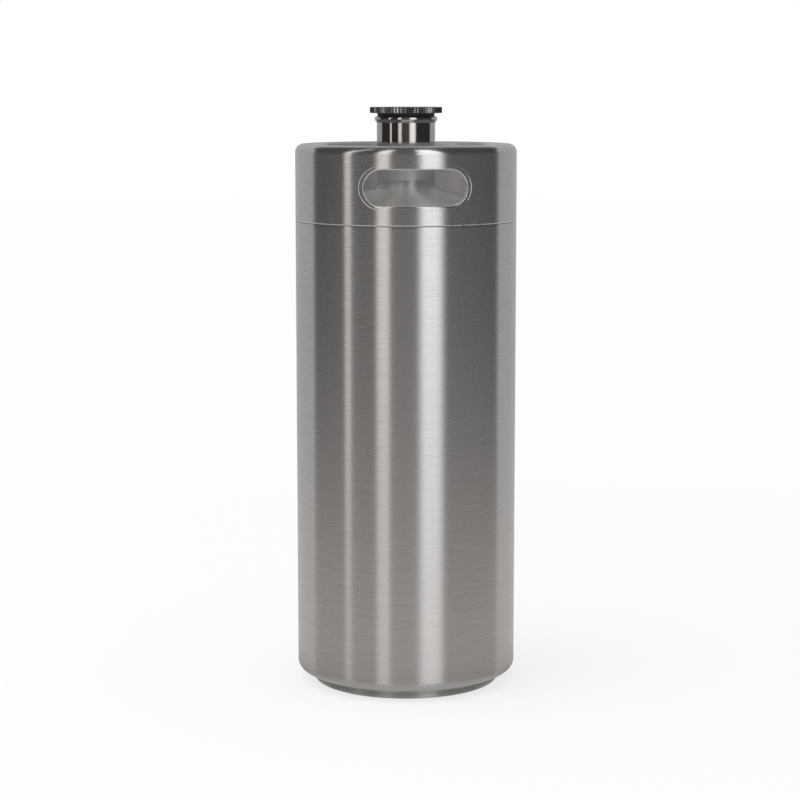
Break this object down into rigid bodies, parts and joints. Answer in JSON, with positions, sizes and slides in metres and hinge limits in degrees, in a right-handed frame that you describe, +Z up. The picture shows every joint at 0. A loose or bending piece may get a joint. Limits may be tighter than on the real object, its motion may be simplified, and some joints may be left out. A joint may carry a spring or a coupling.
{
  "type": "mini keg",
  "caption": "Single-walled stainless steel mini keg with a dished bottom on a foot ring, a domed head, a handle collar with a hand hole, and a screw cap on a tall neck.",
  "frame": {"origin": "on the keg's axis, on the floor it stands on", "axes": "+Z up along the keg's axis; the hand hole faces -Y; +X to the right of someone who looks at the hand hole"},
  "size_m": [0.132, 0.132, 0.3466],
  "materials": {
    "brushed_wall": "stainless steel, fine brushing round the body",
    "brushed_collar": "stainless steel, fine brushing round the collar",
    "satin_head": "stainless steel, drawn and satin",
    "satin_foot": "stainless steel, satin",
    "polished_neck": "stainless steel, turned and mirror polished",
    "cap_steel": "stainless steel, turned, fluted edge",
    "gasket_rubber": "black food-grade rubber, matt"
  },
  "bodies": {
    "keg": {"body_shell": "brushed_wall", "handle_collar": "brushed_collar", "top_head": "satin_head", "bottom_head": "satin_head", "foot_ring": "satin_foot", "neck": "polished_neck"},
    "gasket": {"cap_gasket": "gasket_rubber"},
    "cap": {"cap_plug": "cap_steel", "cap_disc": "cap_steel"}
  },
  "joints": [
    {"name": "cap_lift", "type": "slide", "parent": "keg", "child": "gasket", "axis": [0, 0, 1], "range_m": [0, 0.02401]},
    {"name": "cap_turn", "type": "hinge", "parent": "gasket", "child": "cap", "pos_m": [0, 0, 0.34299], "axis": [0, 0, 1], "range_deg": [0, 2880]}
  ],
  "couplings": [
    {"joint": "cap_lift", "follows": "cap_turn", "m_per_rad": 0.00047746}
  ]
}
